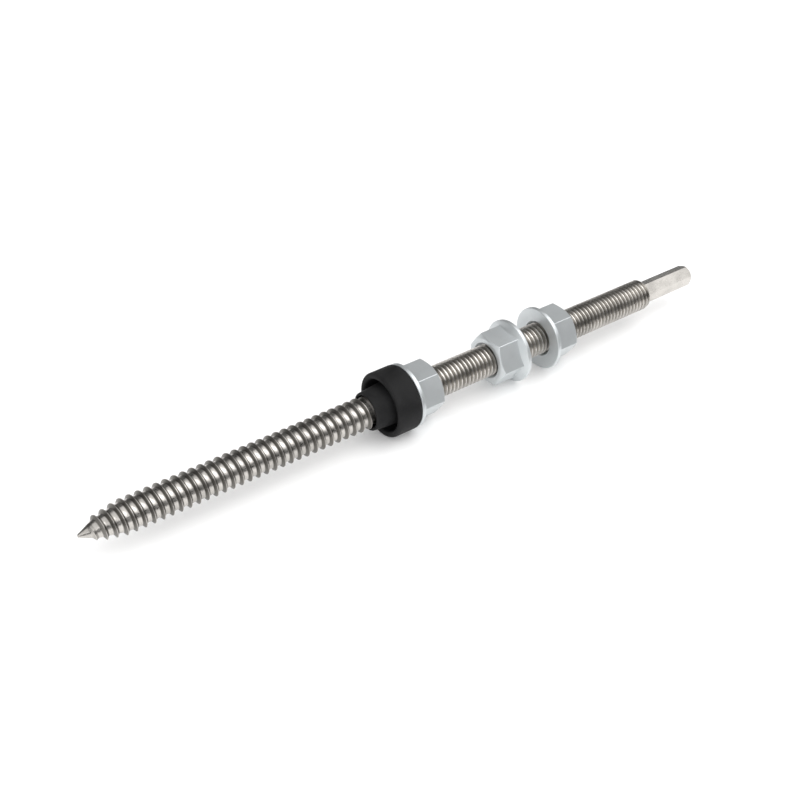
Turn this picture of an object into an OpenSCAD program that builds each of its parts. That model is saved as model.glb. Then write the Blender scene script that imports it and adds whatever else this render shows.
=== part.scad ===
// Hanger bolt with a rubber roof seal and three flange nuts, lying on its side.
// Every piece is drawn along its own +Z and then laid along +X, point to the left.

/* [Wood screw end] */
// Length from the point to the plain shank
wood_l = 112; // [100:1:130]
// Outside diameter over the ridge of the wood thread
wood_d = 12; // [11.4:0.1:12.6]
// Diameter of the core between the ridges
core_d = 9.7; // [9:0.1:10.2]
// Distance from one turn of the ridge to the next
wood_pitch = 3.2; // [2.6:0.1:4.2]
// Width of the ridge where it leaves the core
ridge_base = 1.5; // [1.1:0.1:1.9]
// Width of the flat along the top of the ridge
ridge_top = 0.25; // [0.15:0.05:0.5]
// Diameter of the blunt end of the point
point_d = 1; // [0.6:0.1:1.6]
// Length of the steep point
point_l = 5.7; // [4.5:0.1:7]
// Diameter of the core where the steep point ends
point_base_d = 6.1; // [5.4:0.1:7]
// Distance from the end of the point to where the core is full
lead_l = 9.3; // [6:0.1:14]

/* [Machine screw end] */
// Outside diameter of the machine thread
thread_d = 12; // [11:0.1:13]
// Length of the machine thread
thread_l = 125; // [112:1:150]
// Distance from one turn of the machine thread to the next
thread_pitch = 1.75; // [1.5:0.05:2]
// Chamfer at the end of the machine thread
thread_chamfer = 1.1; // [0.6:0.1:1.4]
// Diameter of the plain shank between the two threads
plain_d = 10.8; // [10.4:0.1:11]
// Length of the plain shank
plain_l = 5; // [3:0.5:8]
// Width across the flats of the drive hexagon
drive_af = 7.5; // [7:0.1:8.4]
// Length of the drive hexagon
drive_l = 25; // [15:1:35]
// Chamfer on the corners at the end of the drive hexagon
drive_chamfer = 1; // [0.6:0.1:1.4]
// Turn of the drive hexagon about the bolt
drive_turn = 11; // [0:1:60]

/* [Flange nuts] */
// Width across the flats of the nut
nut_af = 18; // [17:0.1:19]
// Height of the nut with its flange
nut_h = 12; // [10.5:0.1:14]
// Diameter of the flange
flange_d = 24; // [22:0.1:26]
// Thickness of the flange at its rim
rim_t = 1.5; // [1:0.1:2]
// Slope of the flange from its rim up to the hexagon, in degrees
flange_slope = 22; // [15:1:28]
// Edge break on the rim of the flange
rim_break = 0.3; // [0.1:0.05:0.5]
// Slope of the chamfer that rounds the corners of the hexagon, in degrees
corner_slope = 30; // [20:1:40]
// Diameter of the flat ring at the end of the hexagon
end_ring_d = 16.8; // [15.5:0.1:17]
// Depth of the countersink at each end of the bore
sink_depth = 0.9; // [0.5:0.1:1.3]
// Turn of the hexagons about the bolt
nut_turn = 35; // [0:1:60]
// Gap all round between the machine thread and the bore of a nut
thread_gap = 0.05; // [0.02:0.01:0.1]

/* [Rubber seal] */
// Height from the end of the sleeve to the face under the nut
seal_h = 16; // [14:0.5:18]
// Outside diameter of the skirt
seal_d = 24.2; // [24.2:0.1:27]
// Height of the skirt
skirt_h = 10; // [8:0.5:12]
// Wall thickness of the skirt
skirt_t = 2.3; // [1.8:0.1:2.8]
// Thickness of the disc that joins skirt and sleeve
disc_t = 3; // [2:0.1:4]
// Outside diameter of the sleeve at its free end
sleeve_end_d = 14.2; // [13.8:0.1:15]
// Outside diameter of the sleeve at the disc
sleeve_root_d = 16.8; // [16:0.1:17.4]
// Rounding of the skirt's outer edges
seal_round = 0.9; // [0.5:0.1:1.1]
// Gap all round between the threads and the bore of the seal
seal_gap = 0.05; // [0.02:0.01:0.1]
// Depth of the flat that the soft skirt takes where the bolt lies on it
rest_flat = 0.08; // [0.05:0.01:0.1]

/* [Places along the bolt] */
// Machine thread left below the first nut, inside the seal
hidden_thread = 7.5; // [5:0.5:9]
// Free thread between the first nut and the second
lower_gap = 26; // [18:1:32]
// Room for the plate between the two facing flanges
plate_gap = 13; // [8:1:18]

/* [Hidden] */

$fn = 96;
thread_from = wood_l + plain_l;
thread_to = thread_from + thread_l;
stud_l = thread_to + drive_l;
seal_nut_at = thread_from + hidden_thread;
lower_nut_at = seal_nut_at + nut_h + lower_gap;
lower_face_at = lower_nut_at + nut_h;
upper_nut_at = lower_face_at + plate_gap;
axis_height = max(seal_d / 2 - rest_flat, flange_d / 2);

hexagon_sides = 6;
corner_ratio = cos(180 / hexagon_sides);
drive_sink = 2;
core_sink = 2;

turn_steps = 18;
ridge_phase = 2.17;
ridge_rows = [-ridge_base / 2, -ridge_top / 2, ridge_top / 2, ridge_base / 2];
ridge_height = (wood_d - core_d) / 2;
ridge_rise = 3.4;
ridge_stop = wood_l - 0.8;
thread_sink = 1;
thread_rows = [-thread_pitch / 2, -thread_pitch / 16, thread_pitch / 16];
thread_depth = thread_pitch * 0.6134;
root_r = thread_d / 2 - thread_depth;

metal_grey = [0.68, 0.67, 0.65];
nut_grey = [0.74, 0.77, 0.78];
rubber_black = [0.14, 0.14, 0.14];

function clamp01(x) = min(1, max(0, x));

// Radius of the core: a steep point, a slow lead and a straight stretch
function core_r(z) =
    z < point_l ? (point_d + (point_base_d - point_d) * z / point_l) / 2
    : (point_base_d + (core_d - point_base_d) * clamp01((z - point_l) / lead_l)) / 2;

// How much of the ridge stands at this height: it grows on the point and runs out at the shank
function ridge_share(z) =
    clamp01((z - ridge_rise) / (wood_pitch * 0.8)) * clamp01((ridge_stop - z) / wood_pitch);

function ring_point(step, z, r) =
    [r * cos(360 * step / turn_steps), r * sin(360 * step / turn_steps), z];

function ring(z, r) = [for (k = [0:turn_steps - 1]) ring_point(k, z, r)];

function ridge_point(step, row) =
    let (z = ridge_phase + wood_pitch * step / turn_steps + ridge_rows[row])
    let (on_top = row == 1 || row == 2)
    ring_point(step, z, core_r(z) + (on_top ? ridge_height * ridge_share(z) : 0));

// How much of the machine thread stands at this height: it fades in where it leaves the shank
function thread_share(z) = clamp01((z - thread_from + 0.2) / (1.2 * thread_pitch));

function thread_point(step, row) =
    let (z = thread_from + thread_pitch * (0.3 + step / turn_steps) + thread_rows[row])
    let (r = root_r + (row > 0 ? thread_depth * thread_share(z) : 0))
    ring_point(step, z, min(r, thread_d / 2 - thread_chamfer + thread_to - z));

// One closed skin wound round the axis, from the list of each step's points. The last row of one turn meets
// the first row of the next, and a ring of points closes the skin at each end.
module wound_skin(low_ring, wound, high_ring) {
    rows = len(wound[0]);
    last_row = rows - 1;
    step_count = len(wound) - 1;
    first_open = step_count - turn_steps;
    top_ring = turn_steps + len(wound) * rows;
    function at(step, row) = turn_steps + step * rows + row;
    ridge_faces = [
        for (i = [0:step_count - 1], j = [0:last_row - 1], half = [0, 1])
            half == 0
            ? [at(i, j), at(i + 1, j + 1), at(i + 1, j)]
            : [at(i, j), at(i, j + 1), at(i + 1, j + 1)]
    ];
    core_faces = [
        for (i = [0:first_open - 1], half = [0, 1])
            let (above = i + turn_steps)
            half == 0
            ? [at(i, last_row), at(above + 1, 0), at(i + 1, last_row)]
            : [at(i, last_row), at(above, 0), at(above + 1, 0)]
    ];
    low_faces = [
        for (k = [0:turn_steps - 2], half = [0, 1])
            half == 0
            ? [k, at(k + 1, 0), k + 1]
            : [k, at(k, 0), at(k + 1, 0)]
    ];
    low_seam = concat([turn_steps - 1, 0], [for (j = [0:last_row]) at(0, j)], [at(turn_steps, 0)]);
    high_faces = [
        for (k = [1:turn_steps - 1], half = [0, 1])
            let (i = first_open + k)
            let (next_ring = top_ring + (k + 1) % turn_steps)
            half == 0
            ? [at(i, last_row), next_ring, at(i + 1, last_row)]
            : [at(i, last_row), top_ring + k, next_ring]
    ];
    high_seam = concat(
        [top_ring + 1, top_ring],
        [for (j = [last_row:-1:0]) at(step_count, j)],
        [at(first_open, last_row)]
    );
    low_hub = at(turn_steps - 1, 0);
    high_hub = at(first_open + 1, last_row);
    seam_faces = concat(
        [for (k = [0:len(low_seam) - 2]) [low_hub, low_seam[k + 1], low_seam[k]]],
        [for (k = [0:len(high_seam) - 2]) [high_hub, high_seam[k + 1], high_seam[k]]]
    );
    end_faces = [
        [for (k = [0:turn_steps - 1]) k],
        [for (k = [turn_steps - 1:-1:0]) top_ring + k]
    ];
    polyhedron(
        points = concat(low_ring, [for (step_points = wound) each step_points], high_ring),
        faces = concat(ridge_faces, core_faces, low_faces, high_faces, seam_faces, end_faces),
        convexity = 12
    );
}

// Pointed core with its ridge, closed inside the shank
module wood_screw() {
    turns = floor((ridge_stop - ridge_phase) / wood_pitch);
    wound_skin(
        ring(0, point_d / 2),
        [for (i = [0:turns * turn_steps]) [for (j = [0:len(ridge_rows) - 1]) ridge_point(i, j)]],
        ring(wood_l + core_sink, core_d / 2)
    );
}

// Machine thread, closed inside the shank and chamfered at the drive
module machine_thread() {
    turns = floor(thread_l / thread_pitch - 0.6);
    wound_skin(
        ring(thread_from - thread_sink, root_r),
        [for (i = [0:turns * turn_steps]) [for (j = [0:len(thread_rows) - 1]) thread_point(i, j)]],
        ring(thread_to, thread_d / 2 - thread_chamfer)
    );
}

module lay_at(along) {
    translate([along - stud_l / 2, 0, axis_height])
        rotate([0, 90, 0])
            children();
}

module hexagon_prism(across_flats, height, turn) {
    rotate([0, 0, turn])
        cylinder(d = across_flats / corner_ratio, h = height, $fn = hexagon_sides);
}

// Plain shank between the two threads
module shank() {
    translate([0, 0, wood_l])
        cylinder(d = plain_d, h = plain_l);
}

// Hexagon that takes the driver, its corners turned off at the end
module drive_hexagon() {
    corner_r = drive_af / corner_ratio / 2;
    height = drive_l + drive_sink;
    intersection() {
        hexagon_prism(drive_af, height, drive_turn);
        rotate_extrude()
            polygon([
                [0, 0],
                [corner_r + 1, 0],
                [corner_r + 1, height - drive_chamfer - 1],
                [corner_r - drive_chamfer, height],
                [0, height]
            ]);
    }
}

module stud() {
    color(metal_grey)
        lay_at(0) {
            wood_screw();
            shank();
            machine_thread();
            translate([0, 0, thread_to - drive_sink])
                drive_hexagon();
        }
}

// Half section of a ring with both outer corners rounded
module rounded_ring(inner_r, outer_r, low, high, round_r) {
    translate([inner_r, low])
        square([outer_r - inner_r - round_r, high - low]);
    translate([inner_r, low + round_r])
        square([outer_r - inner_r, high - low - 2 * round_r]);
    for (z = [low + round_r, high - round_r])
        translate([outer_r - round_r, z])
            circle(r = round_r);
}

// Half section of the skirt: a wall with a full round lip
module skirt_section(inner_r, lip_r, low, high) {
    translate([inner_r, low + lip_r])
        square([2 * lip_r, high - low - lip_r]);
    translate([inner_r + lip_r, low + lip_r])
        circle(r = lip_r);
}

// Half section of the sleeve: a wall that thins towards its rounded end
module sleeve_section(bore_r, high) {
    lip_r = (sleeve_end_d / 2 - bore_r) / 2;
    polygon([
        [bore_r, lip_r],
        [sleeve_end_d / 2, lip_r],
        [sleeve_root_d / 2, high],
        [bore_r, high]
    ]);
    translate([bore_r + lip_r, lip_r])
        circle(r = lip_r);
}

module rubber_seal() {
    bore_r = max(thread_d, wood_d) / 2 + seal_gap;
    outer_r = seal_d / 2;
    disc_low = seal_h - disc_t;
    color(rubber_black)
        difference() {
            lay_at(seal_nut_at - seal_h)
                rotate_extrude() {
                    rounded_ring(bore_r, outer_r, disc_low, seal_h, seal_round);
                    skirt_section(outer_r - skirt_t, skirt_t / 2, seal_h - skirt_h, seal_h - disc_t / 2);
                    sleeve_section(bore_r, seal_h - disc_t / 2);
                }
            translate([-stud_l, -outer_r, axis_height - 2 * outer_r + rest_flat])
                cube([2 * stud_l, 2 * outer_r, outer_r]);
        }
}

// Flange nut standing on its flange face, hexagon up
module flange_nut() {
    bore_r = thread_d / 2 + thread_gap;
    flange_r = flange_d / 2;
    corner_r = nut_af / corner_ratio / 2;
    sink_r = bore_r + sink_depth;
    cone_top = rim_t + flange_r * tan(flange_slope);
    chamfer_drop = (corner_r + 1 - end_ring_d / 2) * tan(corner_slope);
    difference() {
        union() {
            intersection() {
                hexagon_prism(nut_af, nut_h, nut_turn);
                rotate_extrude()
                    polygon([
                        [0, 0],
                        [corner_r + 1, 0],
                        [corner_r + 1, nut_h - chamfer_drop],
                        [end_ring_d / 2, nut_h],
                        [0, nut_h]
                    ]);
            }
            rotate_extrude()
                polygon([
                    [0, 0],
                    [flange_r - rim_break, 0],
                    [flange_r, rim_break],
                    [flange_r, rim_t],
                    [0, cone_top]
                ]);
        }
        rotate_extrude()
            polygon([
                [0, -1],
                [sink_r + 1, -1],
                [bore_r, sink_depth],
                [bore_r, nut_h - sink_depth],
                [sink_r + 1, nut_h + 1],
                [0, nut_h + 1]
            ]);
    }
}

module seal_nut() {
    color(nut_grey)
        lay_at(seal_nut_at)
            flange_nut();
}

// Turned round, with its flange towards the plate
module lower_clamp_nut() {
    color(nut_grey)
        lay_at(lower_face_at)
            mirror([0, 0, 1])
                flange_nut();
}

module upper_clamp_nut() {
    color(nut_grey)
        lay_at(upper_nut_at)
            flange_nut();
}

stud();
rubber_seal();
seal_nut();
lower_clamp_nut();
upper_clamp_nut();
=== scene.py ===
"""Looks of a hanger bolt with a rubber roof seal and three flange nuts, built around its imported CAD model."""
import math

import bmesh
import bpy
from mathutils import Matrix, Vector


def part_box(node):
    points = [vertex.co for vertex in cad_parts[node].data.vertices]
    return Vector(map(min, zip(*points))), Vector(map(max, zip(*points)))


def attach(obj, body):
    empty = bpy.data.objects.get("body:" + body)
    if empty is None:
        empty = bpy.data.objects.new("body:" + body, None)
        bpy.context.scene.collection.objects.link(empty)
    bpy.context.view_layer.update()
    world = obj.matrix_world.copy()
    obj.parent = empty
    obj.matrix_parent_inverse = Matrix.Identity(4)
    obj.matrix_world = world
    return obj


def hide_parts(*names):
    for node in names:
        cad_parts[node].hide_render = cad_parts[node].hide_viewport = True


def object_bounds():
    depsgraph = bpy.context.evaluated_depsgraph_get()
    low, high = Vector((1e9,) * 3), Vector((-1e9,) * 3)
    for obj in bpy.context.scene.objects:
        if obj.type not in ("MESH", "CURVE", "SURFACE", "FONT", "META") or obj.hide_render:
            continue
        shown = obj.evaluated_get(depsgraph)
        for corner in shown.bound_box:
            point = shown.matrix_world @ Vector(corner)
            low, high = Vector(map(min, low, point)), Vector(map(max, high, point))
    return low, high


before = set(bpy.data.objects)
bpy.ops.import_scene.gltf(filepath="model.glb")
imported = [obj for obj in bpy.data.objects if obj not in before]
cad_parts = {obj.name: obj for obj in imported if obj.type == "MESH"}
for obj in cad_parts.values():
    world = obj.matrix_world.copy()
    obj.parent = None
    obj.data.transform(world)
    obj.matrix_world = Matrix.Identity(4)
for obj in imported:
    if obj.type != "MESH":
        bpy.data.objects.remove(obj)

bl_info = {
    "name": "Hanger Bolt",
    "version": (1, 0, 0),
    "blender": (4, 5, 0),
    "location": "View3D > Sidebar > Hanger Bolt",
    "description": "Makes a hanger bolt with its seal and nuts, and the studio it lies in",
    "category": "Add Mesh",
}

MM = 0.001
CAD_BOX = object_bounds()
STUD_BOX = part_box("stud")
SEAL_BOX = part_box("rubber_seal")
NUT_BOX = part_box("seal_nut")
POINT_X = STUD_BOX[0][0]
AXIS_Z = (NUT_BOX[0][2] + NUT_BOX[1][2]) / 2


def length(name, description, millimetres):
    """A length property, its default given in millimetres"""
    return bpy.props.FloatProperty(
        name=name, description=description, default=millimetres * MM, min=0, unit="LENGTH", precision=5
    )


def tone(name, description, colour):
    """A colour property"""
    return bpy.props.FloatVectorProperty(
        name=name, description=description, default=colour, size=3, min=0, max=1, subtype="COLOR"
    )


def amount(name, description, default):
    """A number from nothing to full"""
    return bpy.props.FloatProperty(
        name=name, description=description, default=default, min=0, max=1, subtype="FACTOR"
    )


class WoodScrewSizes(bpy.types.PropertyGroup):
    """Sizes of the wood screw end"""

    wood_length: length("Length", "From the point to the plain shank", 112)
    ridge_d: length("Ridge Diameter", "Over the ridge of the wood thread", 12)
    core_d: length("Core Diameter", "Between the ridges", 9.7)
    pitch: length("Pitch", "From one turn of the ridge to the next", 3.2)
    ridge_base: length("Ridge Base", "Width of the ridge where it leaves the core", 1.85)
    ridge_top: length("Ridge Top", "Width along the top of the ridge", 0.3)
    ridge_phase: length("Ridge Place", "Distance of the ridge from the point at no turn", 2.17)
    ridge_rise: length("Ridge Rise", "Distance from the point to where the ridge begins", 3.4)
    ridge_stop: length("Ridge Stop", "Distance from the shank to where the ridge ends", 0.8)
    point_d: length("Point Diameter", "Across the blunt end of the point", 1)
    point_length: length("Point Length", "Length of the steep point", 5.7)
    point_base_d: length("Point Base", "Diameter of the core where the steep point ends", 6.1)
    lead_length: length("Lead Length", "From the steep point to where the core is full", 9.3)


class MachineScrewSizes(bpy.types.PropertyGroup):
    """Sizes of the shank, the machine thread and the drive hexagon"""

    plain_d: length("Shank Diameter", "Diameter of the plain shank", 10.8)
    plain_length: length("Shank Length", "Length of the plain shank", 5)
    thread_d: length("Thread Diameter", "Outside diameter of the machine thread", 12)
    thread_length: length("Thread Length", "Length of the machine thread", 125)
    thread_pitch: length("Thread Pitch", "From one turn of the machine thread to the next", 1.75)
    thread_depth: length("Thread Depth", "Depth of the machine thread", 1.07)
    thread_chamfer: length("Thread Chamfer", "Chamfer at the end of the machine thread", 1.1)
    drive_flats: length("Drive Flats", "Across the flats of the drive hexagon", 7.5)
    drive_chamfer: length("Drive Chamfer", "Chamfer on the corners at the end of the drive", 1)
    drive_turn: bpy.props.FloatProperty(
        name="Drive Turn", description="Turn of the drive hexagon about the bolt",
        default=math.radians(11), subtype="ANGLE", unit="ROTATION"
    )
    sides: bpy.props.IntProperty(
        name="Steps Round", description="Steps round the bolt, a multiple of six",
        default=72, min=24, max=120, step=6
    )


class NutSizes(bpy.types.PropertyGroup):
    """Sizes of the flange nuts"""

    flats: length("Flats", "Across the flats of the hexagon", 18)
    height: length("Height", "Height of the nut with its flange", 12)
    flange_d: length("Flange Diameter", "Diameter of the flange", 24)
    rim: length("Rim", "Thickness of the flange at its rim", 1.5)
    end_ring_d: length("End Ring", "Diameter of the flat ring at the end of the hexagon", 16.8)
    bore_d: length("Bore", "Diameter of the bore", 12.1)
    sink: length("Countersink", "Depth of the countersink at each end of the bore", 0.9)
    edge: length("Edge", "Rounding of the hexagon's corners", 0.3)
    flange_slope: bpy.props.FloatProperty(
        name="Flange Slope", description="Slope of the flange up to the hexagon",
        default=math.radians(22), subtype="ANGLE", unit="ROTATION"
    )
    corner_slope: bpy.props.FloatProperty(
        name="Corner Slope", description="Slope of the chamfer on the hexagon's corners",
        default=math.radians(30), subtype="ANGLE", unit="ROTATION"
    )
    turn: bpy.props.FloatProperty(
        name="Turn", description="Turn of the hexagons about the bolt",
        default=math.radians(35), subtype="ANGLE", unit="ROTATION"
    )


class SealSizes(bpy.types.PropertyGroup):
    """Sizes of the rubber seal"""

    height: length("Height", "From the end of the sleeve to the face under the nut", 16)
    outer_d: length("Diameter", "Outside diameter of the skirt", 24.2)
    skirt_height: length("Skirt Height", "Height of the skirt", 10)
    skirt_wall: length("Skirt Wall", "Wall thickness of the skirt", 2.3)
    disc: length("Disc", "Thickness of the disc that joins skirt and sleeve", 3)
    sleeve_end_d: length("Sleeve End", "Diameter of the sleeve at its free end", 14.2)
    sleeve_root_d: length("Sleeve Root", "Diameter of the sleeve in the disc", 16.8)
    bore_d: length("Bore", "Diameter of the bore", 12.1)
    edge: length("Edge", "Rounding of the outer edge under the nut", 0.9)
    inner_edge: length("Inner Edge", "Rounding in the groove between skirt and sleeve", 0.6)


class Finishes(bpy.types.PropertyGroup):
    """Colours and surfaces of the bolt"""

    stud_colour: tone("Stud", "Rolled stainless steel of the stud", (0.63, 0.605, 0.57))
    # Painted shade: the dark colour laid on the thread flanks and roots, and also the dark end of the stud's
    # random patches
    painted_shade_and_patch_colour: tone("Painted Shade and Patches", "Painted shade of the thread flanks and roots, and the stud's darker patches", (0.15, 0.142, 0.13))
    nut_colour: tone("Nuts", "Satin stainless steel of the nuts", (0.60, 0.627, 0.637))
    nut_shade: tone("Nut Marks", "Nut metal where it is marked", (0.50, 0.525, 0.535))
    rubber_colour: tone("Rubber", "Moulded rubber of the seal", (0.007, 0.007, 0.0074))
    rubber_bloom: tone("Rubber Bloom", "Pale bloom on the rubber", (0.017, 0.017, 0.0175))
    floor_colour: tone("Floor", "Floor under the bolt", (0.96, 0.96, 0.96))
    stud_roughness: amount("Stud Roughness", "Roughness of the rolled metal", 0.24)
    nut_roughness: amount("Nut Roughness", "Roughness of the satin metal", 0.32)
    rubber_roughness: amount("Rubber Roughness", "Roughness of the rubber", 0.58)


class Graph:
    """Short ways to add nodes to one tree and wire them"""

    def __init__(self, tree):
        self.tree = tree

    def node(self, kind, **settings):
        """Adds a node with its settings"""
        made = self.tree.nodes.new(kind)
        for name, value in settings.items():
            setattr(made, name, value)
        return made

    def feed(self, socket, value):
        """Wires an output to a socket, or sets a plain value on it"""
        if isinstance(value, bpy.types.NodeSocket):
            self.tree.links.new(value, socket)
        else:
            socket.default_value = value

    def math(self, operation, *values):
        """A math node of one operation"""
        made = self.node("ShaderNodeMath", operation=operation)
        for socket, value in zip(made.inputs, values):
            self.feed(socket, value)
        return made.outputs[0]

    def add(self, a, b):
        """Sum of two values"""
        return self.math("ADD", a, b)

    def take(self, a, b):
        """First value less the second"""
        return self.math("SUBTRACT", a, b)

    def times(self, a, b):
        """Product of two values"""
        return self.math("MULTIPLY", a, b)

    def over(self, a, b):
        """First value divided by the second"""
        return self.math("DIVIDE", a, b)

    def least(self, a, b):
        """Smaller of two values"""
        return self.math("MINIMUM", a, b)

    def most(self, a, b):
        """Larger of two values"""
        return self.math("MAXIMUM", a, b)

    def share(self, a, b):
        """First value divided by the second, held between nothing and one"""
        return self.least(self.most(self.over(a, b), 0.0), 1.0)

    def choose(self, index, values):
        """One of several values, by a whole number"""
        made = self.node("GeometryNodeIndexSwitch", data_type="FLOAT")
        while len(made.index_switch_items) < len(values):
            made.index_switch_items.new()
        self.feed(made.inputs[0], index)
        for socket, value in zip(made.inputs[1:], values):
            self.feed(socket, value)
        return made.outputs[0]


def new_group(name, inputs, outputs):
    """A geometry node group with named sockets, and its graph, inputs and output node"""
    tree = bpy.data.node_groups.new(name, "GeometryNodeTree")
    for label, kind in inputs:
        tree.interface.new_socket(label, in_out="INPUT", socket_type=kind)
    for label, kind in outputs:
        tree.interface.new_socket(label, in_out="OUTPUT", socket_type=kind)
    graph = Graph(tree)
    start = graph.node("NodeGroupInput")
    end = graph.node("NodeGroupOutput")
    return tree, graph, start.outputs, end.inputs


FLOAT = "NodeSocketFloat"
WHOLE = "NodeSocketInt"
MESH = "NodeSocketGeometry"
FULL_TURN = 2 * math.pi
HEXAGON_HALF = math.pi / 6
PLACE = [("Steps Round", WHOLE), ("Start Angle", FLOAT), ("Point X", FLOAT), ("Axis Height", FLOAT)]


def unit_grid(graph, steps_round, rows):
    """A flat square grid, with each point's share of the way round the bolt and of the way up the rows"""
    grid = graph.node("GeometryNodeMeshGrid")
    grid.inputs["Size X"].default_value = 1
    grid.inputs["Size Y"].default_value = 1
    graph.feed(grid.inputs["Vertices X"], graph.add(steps_round, 1.0))
    graph.feed(grid.inputs["Vertices Y"], rows)
    spot = graph.node("ShaderNodeSeparateXYZ")
    graph.feed(spot.inputs[0], graph.node("GeometryNodeInputPosition").outputs[0])
    return grid.outputs["Mesh"], graph.add(spot.outputs[0], 0.5), graph.add(spot.outputs[1], 0.5)


def helix_group():
    """A grid whose rows climb round the axis, with each point's turn, row and angle"""
    tree, graph, give, put = new_group(
        "Helix grid",
        [("Steps Round", WHOLE), ("Start Angle", FLOAT), ("Rows", WHOLE), ("Turns", WHOLE), ("Pitch", FLOAT)],
        [("Mesh", MESH), ("Climb", FLOAT), ("Angle", FLOAT), ("Row", FLOAT)],
    )
    rows_up = graph.times(give["Rows"], give["Turns"])
    mesh, round_share, up_share = unit_grid(graph, give["Steps Round"], graph.add(rows_up, 1.0))
    step_up = graph.math("ROUND", graph.times(up_share, rows_up))
    # A quarter of a row keeps the first row of a turn out of the turn before
    turn = graph.math("FLOOR", graph.over(graph.add(step_up, 0.25), give["Rows"]))
    graph.feed(put["Mesh"], mesh)
    graph.feed(put["Row"], graph.take(step_up, graph.times(turn, give["Rows"])))
    graph.feed(put["Climb"], graph.times(give["Pitch"], graph.add(turn, round_share)))
    graph.feed(put["Angle"], graph.add(give["Start Angle"], graph.times(round_share, FULL_TURN)))
    return tree


def call_group(graph, group, values):
    """Places a group in a graph and feeds its inputs by name"""
    made = graph.node("GeometryNodeGroup", node_tree=group)
    for label, value in values.items():
        graph.feed(made.inputs[label], value)
    return made.outputs


def lay_round(graph, mesh, along, radius, angle, shade, give, put):
    """Moves the grid's points to their place round the axis of the lying bolt, and notes how much painted shade
    each gets
    """
    spot = graph.node("ShaderNodeCombineXYZ")
    graph.feed(spot.inputs[0], graph.add(along, give["Point X"]))
    graph.feed(spot.inputs[1], graph.times(radius, graph.math("SINE", angle)))
    drop = graph.times(radius, graph.math("COSINE", angle))
    graph.feed(spot.inputs[2], graph.take(give["Axis Height"], drop))
    # Stores each point's share of painted shade for the stud's colour
    note = graph.node("GeometryNodeStoreNamedAttribute", data_type="FLOAT", domain="POINT")
    graph.feed(note.inputs["Geometry"], mesh)
    note.inputs["Name"].default_value = "shade"
    graph.feed(note.inputs["Value"], shade)
    move = graph.node("GeometryNodeSetPosition")
    graph.feed(move.inputs["Geometry"], note.outputs[0])
    graph.feed(move.inputs["Position"], spot.outputs[0])
    graph.feed(put["Mesh"], move.outputs[0])


def wood_group(helix):
    """The wood screw: a ridge that winds round a core with a point"""
    sizes = ["Wood Length", "Core Radius", "Ridge Height", "Wood Pitch", "Ridge Base", "Ridge Top",
             "Ridge Place", "Ridge Rise", "Ridge Stop", "Point Radius", "Point Length", "Point Base",
             "Lead Length"]
    inputs = PLACE + [("Wood Turns", WHOLE)] + [(label, FLOAT) for label in sizes]
    tree, graph, give, put = new_group("Wood screw", inputs, [("Mesh", MESH)])
    turns_before_point = 3.0
    skin_before_point = -1.1
    rise_turns = 0.8
    grid = call_group(graph, helix, {
        "Steps Round": give["Steps Round"], "Start Angle": give["Start Angle"], "Rows": 8,
        "Turns": give["Wood Turns"], "Pitch": give["Wood Pitch"],
    })
    # Half widths of the ridge from its foot, a little rounded at the core, to its crest
    foot = graph.times(give["Ridge Base"], 0.575)
    flank = graph.times(give["Ridge Base"], 0.42)
    shoulder = graph.times(give["Ridge Top"], 0.5)
    crest = graph.times(give["Ridge Top"], 0.25)
    before = [graph.times(value, -1.0) for value in (foot, flank, shoulder, crest)]
    aside = graph.choose(grid["Row"], before + [crest, shoulder, flank, foot])
    standing = graph.choose(grid["Row"], [0.0, 0.08, 0.9, 1.0, 1.0, 0.9, 0.08, 0.0])
    turned = graph.take(graph.over(give["Start Angle"], FULL_TURN), turns_before_point)
    start_climb = graph.times(give["Wood Pitch"], turned)
    raw = graph.add(graph.add(grid["Climb"], aside), graph.add(start_climb, give["Ridge Place"]))
    along = graph.least(graph.most(raw, 0.0), give["Wood Length"])
    point_share = graph.over(along, give["Point Length"])
    point_widens = graph.take(give["Point Base"], give["Point Radius"])
    steep = graph.add(give["Point Radius"], graph.times(point_widens, point_share))
    lead_share = graph.share(graph.take(along, give["Point Length"]), give["Lead Length"])
    lead_widens = graph.take(give["Core Radius"], give["Point Base"])
    lead = graph.add(give["Point Base"], graph.times(lead_widens, lead_share))
    rising = graph.share(graph.take(along, give["Ridge Rise"]), graph.times(give["Wood Pitch"], rise_turns))
    running_out = graph.share(graph.take(give["Ridge Stop"], along), give["Wood Pitch"])
    ridge = graph.times(graph.times(give["Ridge Height"], standing), graph.times(rising, running_out))
    skin = graph.add(graph.least(steep, lead), ridge)
    # Points well before the point close up on the axis and make its blunt end
    on_skin = graph.math("GREATER_THAN", raw, graph.times(give["Wood Pitch"], skin_before_point))
    # Painted shade: the flanks of the ridge get a dark share of colour, its crest a little, the core none
    shade = graph.times(graph.choose(grid["Row"], [0.0, 0.9, 0.9, 0.15, 0.15, 0.9, 0.9, 0.0]), rising)
    lay_round(graph, grid["Mesh"], along, graph.times(skin, on_skin), grid["Angle"], shade, give, put)
    return tree


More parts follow.
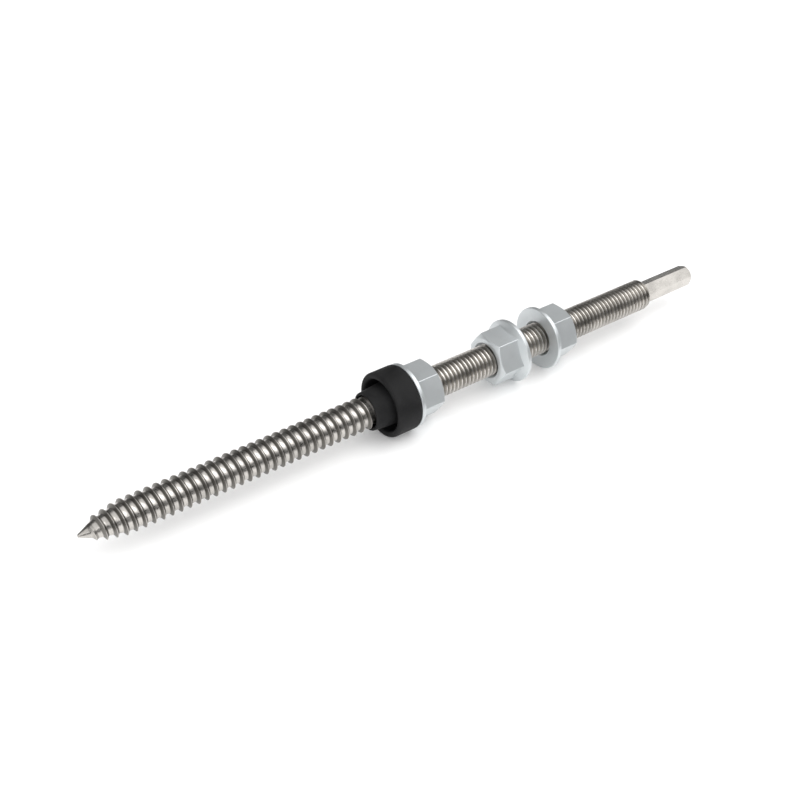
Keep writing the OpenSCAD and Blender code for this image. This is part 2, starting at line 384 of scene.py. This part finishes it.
def machine_group(helix):
    """The machine thread: flat crests and roots that fade in at the shank and end in a chamfer"""
    sizes = ["Thread From", "Thread To", "Thread Radius", "Shank Radius", "Thread Pitch", "Thread Depth",
             "Thread Chamfer"]
    inputs = PLACE + [("Thread Turns", WHOLE)] + [(label, FLOAT) for label in sizes]
    tree, graph, give, put = new_group("Machine thread", inputs, [("Mesh", MESH)])
    turns_before_thread = 2.2
    fade_turns = 1.2
    grid = call_group(graph, helix, {
        "Steps Round": give["Steps Round"], "Start Angle": give["Start Angle"], "Rows": 4,
        "Turns": give["Thread Turns"], "Pitch": give["Thread Pitch"],
    })
    # Two rows along the root and two along the crest, as shares of the pitch
    aside = graph.times(graph.choose(grid["Row"], [-0.12, 0.12, 0.39, 0.61]), give["Thread Pitch"])
    standing = graph.choose(grid["Row"], [0.0, 0.0, 1.0, 1.0])
    turned = graph.take(graph.over(give["Start Angle"], FULL_TURN), turns_before_thread)
    start_climb = graph.add(give["Thread From"], graph.times(give["Thread Pitch"], turned))
    raw = graph.add(graph.add(grid["Climb"], aside), start_climb)
    along = graph.least(graph.most(raw, give["Thread From"]), give["Thread To"])
    root = graph.take(give["Thread Radius"], give["Thread Depth"])
    full = graph.add(root, graph.times(standing, give["Thread Depth"]))
    fade_length = graph.times(give["Thread Pitch"], fade_turns)
    fade = graph.share(graph.take(along, give["Thread From"]), fade_length)
    skin = graph.add(give["Shank Radius"], graph.times(graph.take(full, give["Shank Radius"]), fade))
    end_ring = graph.take(give["Thread Radius"], give["Thread Chamfer"])
    skin = graph.least(skin, graph.add(end_ring, graph.take(give["Thread To"], along)))
    # Painted shade: the roots between the turns get a dark share of colour, the crests none
    shade = graph.choose(grid["Row"], [0.4, 0.4, 0.0, 0.0])
    lay_round(graph, grid["Mesh"], along, skin, grid["Angle"], shade, give, put)
    return tree


def plain_group():
    """The plain shank, and the drive hexagon with its chamfered end"""
    sizes = ["Wood Length", "Core Radius", "Shank Radius", "Thread From", "Thread To", "Thread Radius",
             "Thread Chamfer", "Drive To", "Drive Radius", "Drive Chamfer"]
    tree, graph, give, put = new_group(
        "Shank and drive", PLACE + [(label, FLOAT) for label in sizes], [("Mesh", MESH)]
    )
    join = graph.node("GeometryNodeJoinGeometry")
    corner = graph.take(give["Drive Radius"], give["Drive Chamfer"])
    end_ring = graph.take(give["Thread Radius"], give["Thread Chamfer"])
    thread_to = give["Thread To"]
    drive_to = give["Drive To"]
    # A small nudge puts the points on a corner safely in the sector after it
    nudge = 0.0001
    for part, rows in (("drive", 5), ("shank", 3)):
        mesh, round_share, up_share = unit_grid(graph, give["Steps Round"], rows)
        turn = graph.times(round_share, FULL_TURN)
        row = graph.math("ROUND", graph.times(up_share, rows - 1.0))
        if part == "drive":
            in_sector = graph.math("MODULO", graph.add(turn, nudge), math.pi / 3)
            from_middle = graph.take(in_sector, HEXAGON_HALF + nudge)
            flat = graph.times(give["Drive Radius"], math.cos(HEXAGON_HALF))
            hexagon = graph.over(flat, graph.math("COSINE", from_middle))
            edge = graph.take(drive_to, graph.take(hexagon, corner))
            along = graph.choose(row, [thread_to, thread_to, edge, drive_to, drive_to])
            radius = graph.choose(row, [end_ring, hexagon, hexagon, corner, 0.0])
        else:
            along = graph.choose(row, [give["Wood Length"], give["Wood Length"], give["Thread From"]])
            radius = graph.choose(row, [give["Core Radius"], give["Shank Radius"], give["Shank Radius"]])
        angle = graph.add(give["Start Angle"], turn)
        lay_round(graph, mesh, along, radius, angle, 0.0, give, {"Mesh": join.inputs[0]})
    graph.feed(put["Mesh"], join.outputs[0])
    return tree


def stud_tree(values, material):
    """The whole stud as one welded skin; values gives each named input its size"""
    helix = helix_group()
    groups = [wood_group(helix), machine_group(helix), plain_group()]
    inputs = [(label, WHOLE if isinstance(value, int) else FLOAT) for label, value in values.items()]
    tree, graph, give, put = new_group("Stud", inputs, [("Mesh", MESH)])
    join = graph.node("GeometryNodeJoinGeometry")
    for group in groups:
        labels = [item.name for item in group.interface.items_tree if item.in_out == "INPUT"]
        made = call_group(graph, group, {label: give[label] for label in labels})
        graph.feed(join.inputs[0], made["Mesh"])
    weld = graph.node("GeometryNodeMergeByDistance")
    graph.feed(weld.inputs["Geometry"], join.outputs[0])
    weld.inputs["Distance"].default_value = 0.002 * MM
    real = graph.node("GeometryNodeRealizeInstances")
    graph.feed(real.inputs[0], weld.outputs[0])
    coat = graph.node("GeometryNodeSetMaterial")
    graph.feed(coat.inputs["Geometry"], real.outputs[0])
    coat.inputs["Material"].default_value = material
    graph.feed(put["Mesh"], coat.outputs[0])
    return tree


def baked(tree, values, name):
    """Runs a tree with its values and returns the result as a plain mesh object"""
    holder = bpy.data.objects.new(name + "_tree", bpy.data.meshes.new(name + "_tree"))
    bpy.context.scene.collection.objects.link(holder)
    modifier = holder.modifiers.new("shape", "NODES")
    modifier.node_group = tree
    for item in tree.interface.items_tree:
        if item.in_out == "INPUT":
            modifier[item.identifier] = values[item.name]
    ready = holder.evaluated_get(bpy.context.evaluated_depsgraph_get())
    mesh = bpy.data.meshes.new_from_object(ready)
    mesh.name = name
    bpy.data.objects.remove(holder)
    piece = bpy.data.objects.new(name, mesh)
    bpy.context.scene.collection.objects.link(piece)
    return piece


def settle(piece, angle):
    """Cleans a piece's mesh, turns its faces outwards and keeps the edges past an angle sharp"""
    work = bmesh.new()
    work.from_mesh(piece.data)
    bmesh.ops.remove_doubles(work, verts=work.verts, dist=0.001 * MM)
    bmesh.ops.dissolve_degenerate(work, edges=work.edges, dist=0.0005 * MM)
    bmesh.ops.recalc_face_normals(work, faces=work.faces)
    if any(not edge.is_manifold for edge in work.edges):
        raise RuntimeError(piece.name + " is not a closed skin")
    work.to_mesh(piece.data)
    work.free()
    piece.data.shade_smooth()
    piece.data.set_sharp_from_angle(angle=math.radians(angle))


def mesh_piece(name, points, faces, material):
    """A piece from plain points and faces"""
    mesh = bpy.data.meshes.new(name)
    mesh.from_pydata(points, [], faces)
    mesh.materials.append(material)
    piece = bpy.data.objects.new(name, mesh)
    bpy.context.scene.collection.objects.link(piece)
    return piece


def ring_faces(rows, columns):
    """Faces of a skin of closed rings, the last ring joined to the first"""
    faces = []
    for row in range(rows):
        here = row * columns
        after = (row + 1) % rows * columns
        for column in range(columns):
            beside = (column + 1) % columns
            faces.append((here + column, here + beside, after + beside, after + column))
    return faces


def lying(along, radius, angle):
    """Point at a radius and turn about the axis of the lying bolt"""
    return (along, radius * math.sin(angle), AXIS_Z - radius * math.cos(angle))


def arc(centre, radius, start, end, steps):
    """Points of an arc in a half section, its angles in degrees"""
    points = []
    for step in range(steps + 1):
        turn = math.radians(start + (end - start) * step / steps)
        points.append((centre[0] + radius * math.cos(turn), centre[1] + radius * math.sin(turn)))
    return points


def shader_group():
    """Fine marks of handling and forming: a soft mask, a fine mask and a height"""
    tree = bpy.data.node_groups.new("Forming marks", "ShaderNodeTree")
    tree.interface.new_socket("Position", in_out="INPUT", socket_type="NodeSocketVector")
    for label in ("Patch Size", "Grain Size", "Stretch"):
        tree.interface.new_socket(label, in_out="INPUT", socket_type=FLOAT)
    for label in ("Patches", "Grain", "Height"):
        tree.interface.new_socket(label, in_out="OUTPUT", socket_type=FLOAT)
    graph = Graph(tree)
    give = graph.node("NodeGroupInput").outputs
    put = graph.node("NodeGroupOutput").inputs
    spread = graph.node("ShaderNodeCombineXYZ")
    graph.feed(spread.inputs[0], give["Stretch"])
    spread.inputs[1].default_value = 1
    spread.inputs[2].default_value = 1
    pulled = graph.node("ShaderNodeVectorMath", operation="DIVIDE")
    graph.feed(pulled.inputs[0], give["Position"])
    graph.feed(pulled.inputs[1], spread.outputs[0])
    patches = graph.node("ShaderNodeTexNoise")
    graph.feed(patches.inputs["Vector"], give["Position"])
    graph.feed(patches.inputs["Scale"], graph.over(1.0, give["Patch Size"]))
    patches.inputs["Detail"].default_value = 3
    grain = graph.node("ShaderNodeTexNoise")
    graph.feed(grain.inputs["Vector"], pulled.outputs[0])
    graph.feed(grain.inputs["Scale"], graph.over(1.0, give["Grain Size"]))
    grain.inputs["Detail"].default_value = 4
    grain.inputs["Roughness"].default_value = 0.6
    soft = graph.node("ShaderNodeMapRange", interpolation_type="SMOOTHSTEP")
    graph.feed(soft.inputs["Value"], patches.outputs[0])
    soft.inputs["From Min"].default_value = 0.38
    soft.inputs["From Max"].default_value = 0.64
    fine = graph.node("ShaderNodeMapRange")
    graph.feed(fine.inputs["Value"], grain.outputs[0])
    fine.inputs["From Min"].default_value = 0.3
    fine.inputs["From Max"].default_value = 0.7
    graph.feed(put["Patches"], soft.outputs[0])
    graph.feed(put["Grain"], fine.outputs[0])
    graph.feed(put["Height"], grain.outputs[0])
    return tree


def new_material(name):
    """An empty surface with its graph, its shader and its Object coordinates"""
    material = bpy.data.materials.new(name)
    material.use_nodes = True
    material.node_tree.nodes.clear()
    graph = Graph(material.node_tree)
    shader = graph.node("ShaderNodeBsdfPrincipled")
    end = graph.node("ShaderNodeOutputMaterial")
    graph.feed(end.inputs["Surface"], shader.outputs[0])
    spot = graph.node("ShaderNodeTexCoord").outputs["Object"]
    return material, graph, shader, spot


def marks(graph, spot, patch, grain, stretch):
    """The forming marks on one surface, their sizes in millimetres"""
    group = bpy.data.node_groups.get("Forming marks") or shader_group()
    made = graph.node("ShaderNodeGroup", node_tree=group)
    graph.feed(made.inputs["Position"], spot)
    made.inputs["Patch Size"].default_value = patch * MM
    made.inputs["Grain Size"].default_value = grain * MM
    made.inputs["Stretch"].default_value = stretch
    return made.outputs


def blend(graph, share, first, second):
    """A colour between two, by a share"""
    made = graph.node("ShaderNodeMix", data_type="RGBA")
    graph.feed(made.inputs[0], share)
    for socket, colour in zip((made.inputs[6], made.inputs[7]), (first, second)):
        graph.feed(socket, colour if isinstance(colour, bpy.types.NodeSocket) else (*colour, 1))
    return made.outputs[2]


def raised(graph, shader, height, distance, strength):
    """Small relief on a surface, its depth in millimetres"""
    bump = graph.node("ShaderNodeBump")
    graph.feed(bump.inputs["Height"], height)
    bump.inputs["Distance"].default_value = distance * MM
    bump.inputs["Strength"].default_value = strength
    graph.feed(shader.inputs["Normal"], bump.outputs[0])


def stud_metal(finish):
    """Rolled stainless steel, with painted shade on the flanks of the wood thread and deep in the machine
    thread
    """
    material, graph, shader, spot = new_material("rolled_stainless")
    made = marks(graph, spot, patch=9, grain=0.45, stretch=2.5)
    shade = graph.node("ShaderNodeAttribute", attribute_name="shade").outputs["Fac"]
    worn = blend(graph, graph.times(made["Patches"], 0.3), finish.stud_colour, finish.painted_shade_and_patch_colour)
    # Painted shade: the shade attribute darkens the colour on the thread flanks and roots
    graph.feed(shader.inputs["Base Color"], blend(graph, shade, worn, finish.painted_shade_and_patch_colour))
    shader.inputs["Metallic"].default_value = 1
    rough = graph.add(finish.stud_roughness, graph.times(made["Grain"], 0.12))
    graph.feed(shader.inputs["Roughness"], graph.add(rough, graph.times(shade, 0.08)))
    raised(graph, shader, made["Height"], distance=0.03, strength=0.35)
    return material


def nut_metal(finish):
    """Satin stainless steel with soft marks"""
    material, graph, shader, spot = new_material("satin_stainless")
    made = marks(graph, spot, patch=7, grain=0.3, stretch=1)
    share = graph.add(graph.times(made["Patches"], 0.3), graph.times(made["Grain"], 0.2))
    graph.feed(shader.inputs["Base Color"], blend(graph, share, finish.nut_colour, finish.nut_shade))
    shader.inputs["Metallic"].default_value = 0.7
    rough = graph.add(finish.nut_roughness, graph.times(made["Grain"], 0.14))
    graph.feed(shader.inputs["Roughness"], rough)
    raised(graph, shader, made["Height"], distance=0.02, strength=0.4)
    return material


def seal_rubber(finish):
    """Matte moulded rubber with a little bloom"""
    material, graph, shader, spot = new_material("moulded_rubber")
    made = marks(graph, spot, patch=6, grain=0.35, stretch=1)
    share = graph.add(graph.times(made["Patches"], 0.5), graph.times(made["Grain"], 0.35))
    graph.feed(shader.inputs["Base Color"], blend(graph, share, finish.rubber_colour, finish.rubber_bloom))
    rough = graph.add(finish.rubber_roughness, graph.times(made["Patches"], 0.12))
    graph.feed(shader.inputs["Roughness"], rough)
    shader.inputs["Specular IOR Level"].default_value = 0.16
    raised(graph, shader, made["Height"], distance=0.04, strength=0.5)
    return material


class HANGERBOLT_OT_stud(bpy.types.Operator):
    """Makes the stud with both threads and the drive hexagon"""

    bl_idname = "hanger_bolt.stud"
    bl_label = "Make Stud"

    def execute(self, context):
        wood = context.scene.hanger_bolt_wood
        machine = context.scene.hanger_bolt_machine
        thread_from = wood.wood_length + machine.plain_length
        thread_to = thread_from + machine.thread_length
        values = {
            "Steps Round": machine.sides,
            "Start Angle": machine.drive_turn,
            "Point X": POINT_X,
            "Axis Height": AXIS_Z,
            "Wood Turns": math.ceil(wood.wood_length / wood.pitch) + 4,
            "Wood Length": wood.wood_length,
            "Core Radius": wood.core_d / 2,
            "Ridge Height": (wood.ridge_d - wood.core_d) / 2,
            "Wood Pitch": wood.pitch,
            "Ridge Base": wood.ridge_base,
            "Ridge Top": wood.ridge_top,
            "Ridge Place": wood.ridge_phase,
            "Ridge Rise": wood.ridge_rise,
            "Ridge Stop": wood.wood_length - wood.ridge_stop,
            "Point Radius": wood.point_d / 2,
            "Point Length": wood.point_length,
            "Point Base": wood.point_base_d / 2,
            "Lead Length": wood.lead_length,
            "Thread Turns": math.ceil(machine.thread_length / machine.thread_pitch) + 3,
            "Thread From": thread_from,
            "Thread To": thread_to,
            "Thread Radius": machine.thread_d / 2,
            "Shank Radius": machine.plain_d / 2,
            "Thread Pitch": machine.thread_pitch,
            "Thread Depth": machine.thread_depth,
            "Thread Chamfer": machine.thread_chamfer,
            "Drive To": STUD_BOX[1][0] - POINT_X,
            "Drive Radius": machine.drive_flats / 2 / math.cos(HEXAGON_HALF),
            "Drive Chamfer": machine.drive_chamfer,
        }
        metal = stud_metal(context.scene.hanger_bolt_finish)
        piece = baked(stud_tree(values, metal), values, "stud_threads")
        settle(piece, angle=28)
        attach(piece, "stud")
        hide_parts("stud")
        return {"FINISHED"}


def corner_round(nut):
    """Middle of a hexagon corner's rounding, from the axis, and the angle from the corner where it ends"""
    centre = (nut.flats / 2 - nut.edge) / math.cos(HEXAGON_HALF)
    return centre, math.atan2(nut.edge / 2, centre + nut.edge * math.cos(HEXAGON_HALF))


def corner_columns(nut):
    """Angles round a nut in degrees, close together at the rounded corners of its hexagon"""
    tangent = math.degrees(corner_round(nut)[1])
    beside = [tangent / 2, tangent, tangent + 0.35, 3, 6, 10, 14, 18, 22, 26]
    return [-angle for angle in reversed(beside)] + [0.0] + beside + [30.0]


def hexagon_radius(nut, from_corner):
    """Distance from the axis to the hexagon with rounded corners, at an angle from a corner"""
    centre, tangent = corner_round(nut)
    turn = abs(math.radians(from_corner))
    if turn >= tangent:
        return nut.flats / 2 / math.cos(HEXAGON_HALF - turn)
    return centre * math.cos(turn) + math.sqrt(nut.edge ** 2 - (centre * math.sin(turn)) ** 2)


def nut_section(nut, hexagon):
    """Half section of the nut where the hexagon has this radius, from the bore round to the bore"""
    bore = nut.bore_d / 2
    flange = nut.flange_d / 2
    ring = nut.end_ring_d / 2
    # Small roundings of the rim below and above, and of the hexagon's edges
    lower = 0.3 * MM
    upper = 0.22 * MM
    bevel = 0.1 * MM
    # Narrow strips that hold the shading beside the countersinks and the rim
    sink_strip = 0.12 * MM
    under_strip = 0.15 * MM
    cone_strip = 0.6 * MM
    slope = math.tan(nut.flange_slope)
    drop = math.tan(nut.corner_slope)
    face_end = nut.height - (hexagon - ring) * drop
    foot = nut.rim + (flange - hexagon) * slope
    mouth = bore + nut.sink
    points = [(bore, nut.sink), (mouth, 0.0), (mouth + sink_strip, 0.0)]
    points += [(flange - lower - under_strip, 0.0)]
    points += arc((flange - lower, lower), lower, -90, 0, 4)
    points += arc((flange - upper, nut.rim - upper), upper, 0, 68, 4)
    points += [(flange - cone_strip, nut.rim + cone_strip * slope)]
    points += [(hexagon + bevel * 3, foot - bevel * 3 * slope)]
    points += [(hexagon + bevel, foot - bevel * slope + bevel * 0.25)]
    points += [(hexagon, foot + bevel * 1.2), (hexagon, foot + bevel * 3)]
    points += [(hexagon, face_end - bevel * 2), (hexagon, face_end - bevel * 0.7)]
    points += [(hexagon - bevel * 0.6, face_end + bevel * 0.35)]
    points += [(hexagon - bevel * 2, face_end + bevel * 2 * drop)]
    points += [(ring + bevel, nut.height - bevel * drop), (ring - bevel, nut.height)]
    points += [(mouth + sink_strip, nut.height), (mouth, nut.height)]
    points += [(bore, nut.height - nut.sink)]
    return points


class HANGERBOLT_OT_nuts(bpy.types.Operator):
    """Makes the three flange nuts"""

    bl_idname = "hanger_bolt.nuts"
    bl_label = "Make Flange Nuts"

    def execute(self, context):
        nut = context.scene.hanger_bolt_nut
        metal = nut_metal(context.scene.hanger_bolt_finish)
        columns = corner_columns(nut)
        for node, body, flange_low in (
            ("seal_nut", "first_nut", True),
            ("lower_clamp_nut", "second_nut", False),
            ("upper_clamp_nut", "third_nut", True),
        ):
            low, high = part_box(node)
            sections = []
            for corner in range(6):
                for from_corner in columns:
                    angle = nut.turn + math.radians(60 * corner + from_corner)
                    sections.append((angle, nut_section(nut, hexagon_radius(nut, from_corner))))
            points = []
            for row in range(len(sections[0][1])):
                for angle, section in sections:
                    radius, up = section[row]
                    along = low[0] + up if flange_low else high[0] - up
                    points.append(lying(along, radius, angle))
            faces = ring_faces(len(sections[0][1]), len(sections))
            piece = mesh_piece(node + "_body", points, faces, metal)
            settle(piece, angle=32)
            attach(piece, body)
            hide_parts(node)
        return {"FINISHED"}


def seal_section(seal):
    """Half section of the seal, from the bore's end in the sleeve round to the bore's end under the nut"""
    bore = seal.bore_d / 2
    outer = seal.outer_d / 2
    inner = outer - seal.skirt_wall
    under = seal.height - seal.disc
    lip = (seal.sleeve_end_d / 2 - bore) / 2
    widen = (seal.sleeve_root_d / 2 - seal.sleeve_end_d / 2) / (seal.height - seal.disc / 2 - lip)
    root = seal.sleeve_end_d / 2 + widen * (under - lip)
    fillet = seal.inner_edge
    half_wall = seal.skirt_wall / 2
    lip_up = seal.height - seal.skirt_height + half_wall
    # Narrow strips that hold the shading beside the roundings, and the rounding of the bore's mouth
    wall_strip = 0.6 * MM
    face_strip = 0.4 * MM
    mouth = 0.2 * MM
    points = arc((bore + lip, lip), lip, 180, 360, 10)
    points += [(root - widen * fillet * 3, under - fillet * 3)]
    points += arc((root + fillet, under - fillet), fillet, 180, 90, 5)
    points += arc((inner - fillet, under - fillet), fillet, 90, 0, 5)
    points += arc((outer - half_wall, lip_up), half_wall, 180, 360, 14)
    points += [(outer, lip_up + wall_strip), (outer, seal.height - seal.edge - wall_strip)]
    points += arc((outer - seal.edge, seal.height - seal.edge), seal.edge, 0, 90, 8)
    points += [(outer - seal.edge - face_strip, seal.height), (bore + 1.5 * mouth, seal.height)]
    points += arc((bore + mouth, seal.height - mouth), mouth, 90, 180, 3)
    return points


class HANGERBOLT_OT_seal(bpy.types.Operator):
    """Makes the rubber seal"""

    bl_idname = "hanger_bolt.seal"
    bl_label = "Make Seal"

    def execute(self, context):
        seal = context.scene.hanger_bolt_seal
        section = seal_section(seal)
        columns = 144
        points = []
        for radius, up in section:
            for column in range(columns):
                along, aside, height = lying(SEAL_BOX[0][0] + up, radius, FULL_TURN * column / columns)
                # The skirt is pressed flat where it lies
                points.append((along, aside, max(height, CAD_BOX[0][2])))
        rubber = seal_rubber(context.scene.hanger_bolt_finish)
        piece = mesh_piece("seal_rubber", points, ring_faces(len(section), columns), rubber)
        settle(piece, angle=45)
        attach(piece, "seal")
        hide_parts("rubber_seal")
        return {"FINISHED"}


SQUARE = ((-1, -1), (1, -1), (1, 1), (-1, 1))


def card(name, middle, facing, size, shade):
    """A card that only reflections show"""
    material = bpy.data.materials.new(name)
    material.use_nodes = True
    material.node_tree.nodes.clear()
    graph = Graph(material.node_tree)
    glow = graph.node("ShaderNodeEmission")
    glow.inputs["Color"].default_value = (shade, shade, shade, 1)
    end = graph.node("ShaderNodeOutputMaterial")
    graph.feed(end.inputs["Surface"], glow.outputs[0])
    turn = Vector(facing).to_track_quat("Z", "Y").to_matrix()
    corners = []
    for across, up in SQUARE:
        corners.append(Vector(middle) + turn @ Vector((across * size[0] / 2, up * size[1] / 2, 0)))
    piece = mesh_piece(name, corners, [(0, 1, 2, 3)], material)
    piece.visible_camera = False
    piece.visible_diffuse = False
    piece.visible_shadow = False
    piece.visible_transmission = False


def lamp(name, middle, target, size, power):
    """A soft lamp that shines on a target"""
    light = bpy.data.lights.new(name, "AREA")
    light.shape = "RECTANGLE"
    light.size = size[0]
    light.size_y = size[1]
    light.energy = power
    holder = bpy.data.objects.new(name, light)
    holder.location = middle
    holder.rotation_euler = (Vector(middle) - Vector(target)).to_track_quat("Z", "Y").to_euler()
    bpy.context.scene.collection.objects.link(holder)


class HANGERBOLT_OT_stage(bpy.types.Operator):
    """Makes the floor, the lamps, the cards and the camera"""

    bl_idname = "hanger_bolt.stage"
    bl_label = "Make Stage"

    def execute(self, context):
        scene = context.scene
        scene.view_settings.view_transform = "Standard"
        self.camera(scene)
        self.floor(scene.hanger_bolt_finish)
        self.sky(scene)
        target = (0, 0, AXIS_Z)
        lamp("top_lamp", (0.35, -0.3, 0.75), target, size=(0.9, 0.45), power=2.7)
        lamp("front_lamp", (-0.3, -1.0, 0.35), target, size=(1.2, 0.5), power=4.6)
        lamp("point_lamp", (-0.95, -0.1, 0.3), target, size=(0.5, 0.4), power=2.2)
        card("front_flag", (0.05, -0.05, 0.02), facing=(0, 1, 0), size=(1.2, 0.042), shade=0.015)
        card("point_flag", (-0.5, -0.02, 0.1), facing=(1, 0, 0), size=(0.5, 0.5), shade=0.03)
        card("back_card", (0.25, 0.3, 0.3), facing=(0, -1, 0), size=(1.8, 0.64), shade=0.1)
        return {"FINISHED"}

    def camera(self, scene):
        """Camera at the photograph's angle"""
        lens = bpy.data.cameras.new("camera")
        lens.sensor_width = 36
        lens.lens = 58.9
        lens.clip_start = 0.01
        distance = 0.462
        toward = Vector((-0.4806, -0.6519, 0.5865)).normalized()
        turn = toward.to_track_quat("Z", "Y")
        shift = Vector((0.00034, -0.00078, 0))
        aim = Vector((-0.0106, 0, AXIS_Z)) + turn @ shift
        holder = bpy.data.objects.new("camera", lens)
        holder.location = aim + toward * distance
        holder.rotation_euler = turn.to_euler()
        scene.collection.objects.link(holder)
        scene.camera = holder

    def floor(self, finish):
        """Plain pale floor"""
        material, _, shader, _ = new_material("pale_floor")
        shader.inputs["Base Color"].default_value = (*finish.floor_colour, 1)
        shader.inputs["Roughness"].default_value = 0.9
        shader.inputs["Specular IOR Level"].default_value = 0
        level = CAD_BOX[0][2]
        reach = 9
        corners = [(across * reach, up * reach, level) for across, up in SQUARE]
        mesh_piece("floor", corners, [(0, 1, 2, 3)], material)

    def sky(self, scene):
        """White surroundings that the metal reflects and that light everything softly"""
        world = bpy.data.worlds.new("studio")
        world.use_nodes = True
        world.node_tree.nodes.clear()
        graph = Graph(world.node_tree)
        glow = graph.node("ShaderNodeBackground")
        glow.inputs["Color"].default_value = (1, 1, 1, 1)
        glow.inputs["Strength"].default_value = 1
        end = graph.node("ShaderNodeOutputWorld")
        graph.feed(end.inputs["Surface"], glow.outputs[0])
        scene.world = world


class HANGERBOLT_PT_panel(bpy.types.Panel):
    """Sizes, finishes and makers of the hanger bolt"""

    bl_idname = "HANGERBOLT_PT_panel"
    bl_label = "Hanger Bolt"
    bl_space_type = "VIEW_3D"
    bl_region_type = "UI"
    bl_category = "Hanger Bolt"

    def draw(self, context):
        for label, group, _ in SETTINGS:
            box = self.layout.box()
            box.label(text=label)
            for name in getattr(context.scene, group).bl_rna.properties.keys():
                if name not in ("rna_type", "name"):
                    box.prop(getattr(context.scene, group), name)
        for maker in MAKERS:
            self.layout.operator(maker.bl_idname)


SETTINGS = (
    ("Wood Screw", "hanger_bolt_wood", WoodScrewSizes),
    ("Machine Screw", "hanger_bolt_machine", MachineScrewSizes),
    ("Flange Nuts", "hanger_bolt_nut", NutSizes),
    ("Seal", "hanger_bolt_seal", SealSizes),
    ("Finishes", "hanger_bolt_finish", Finishes),
)
MAKERS = (HANGERBOLT_OT_stud, HANGERBOLT_OT_nuts, HANGERBOLT_OT_seal, HANGERBOLT_OT_stage)


def register():
    """Adds the classes and the settings"""
    for _, name, group in SETTINGS:
        bpy.utils.register_class(group)
        setattr(bpy.types.Scene, name, bpy.props.PointerProperty(type=group))
    for maker in MAKERS:
        bpy.utils.register_class(maker)
    bpy.utils.register_class(HANGERBOLT_PT_panel)


def unregister():
    """Takes the settings and the classes away again"""
    bpy.utils.unregister_class(HANGERBOLT_PT_panel)
    for maker in reversed(MAKERS):
        bpy.utils.unregister_class(maker)
    for _, name, group in reversed(SETTINGS):
        delattr(bpy.types.Scene, name)
        bpy.utils.unregister_class(group)


def main():
    """Makes every piece and the stage"""
    register()
    bpy.ops.hanger_bolt.stud()
    bpy.ops.hanger_bolt.nuts()
    bpy.ops.hanger_bolt.seal()
    bpy.ops.hanger_bolt.stage()


if __name__ == "__main__":
    main()
